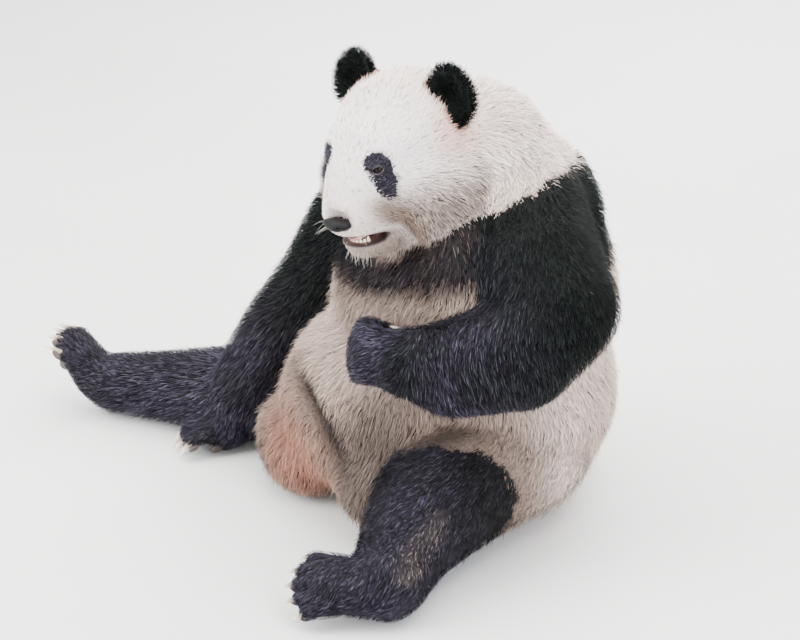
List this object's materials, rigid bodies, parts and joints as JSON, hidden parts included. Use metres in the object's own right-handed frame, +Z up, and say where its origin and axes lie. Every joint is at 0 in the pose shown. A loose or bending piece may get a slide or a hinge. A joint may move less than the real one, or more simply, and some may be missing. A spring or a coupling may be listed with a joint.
{
  "type": "giant panda",
  "caption": "Life-size still giant panda sitting on its rump, left fist raised to its chest, right hand on the floor beside a stretched leg, mouth a little open.",
  "frame": {"origin": "on the floor, under the middle of the bounding box", "axes": "+Z up, the panda looks along -Y, its left side is towards +X"},
  "size_m": [1.2094, 0.8454, 0.8519],
  "materials": {
    "cream_coat": "soft cream fur over skin",
    "black_coat": "glossy black fur over skin",
    "nose_skin": "moist pebbled skin",
    "tongue_skin": "wet pink flesh",
    "tooth_enamel": "worn enamel",
    "eye": "wet and clear",
    "claw_horn": "worn ivory horn",
    "pad_skin": "dry creased pads"
  },
  "bodies": {
    "root": {"head": "cream_coat", "lower_jaw": "cream_coat", "neck": "cream_coat", "trunk": "cream_coat", "tail": "cream_coat", "nose": "nose_skin", "tongue": "tongue_skin", "ear_left": "black_coat", "upper_arm_left": "black_coat", "forearm_left": "black_coat", "hand_left": "black_coat", "thigh_left": "black_coat", "shin_left": "black_coat", "foot_left": "black_coat", "eye_left": "eye", "claw_hand_left_1": "claw_horn", "claw_hand_left_2": "claw_horn", "claw_hand_left_3": "claw_horn", "claw_hand_left_4": "claw_horn", "claw_hand_left_5": "claw_horn", "claw_foot_left_1": "claw_horn", "claw_foot_left_2": "claw_horn", "claw_foot_left_3": "claw_horn", "claw_foot_left_4": "claw_horn", "claw_foot_left_5": "claw_horn", "ear_right": "black_coat", "upper_arm_right": "black_coat", "forearm_right": "black_coat", "hand_right": "black_coat", "thigh_right": "black_coat", "shin_right": "black_coat", "foot_right": "black_coat", "eye_right": "eye", "claw_hand_right_1": "claw_horn", "claw_hand_right_2": "claw_horn", "claw_hand_right_3": "claw_horn", "claw_hand_right_4": "claw_horn", "claw_hand_right_5": "claw_horn", "claw_foot_right_1": "claw_horn", "claw_foot_right_2": "claw_horn", "claw_foot_right_3": "claw_horn", "claw_foot_right_4": "claw_horn", "claw_foot_right_5": "claw_horn"}
  },
  "joints": []
}
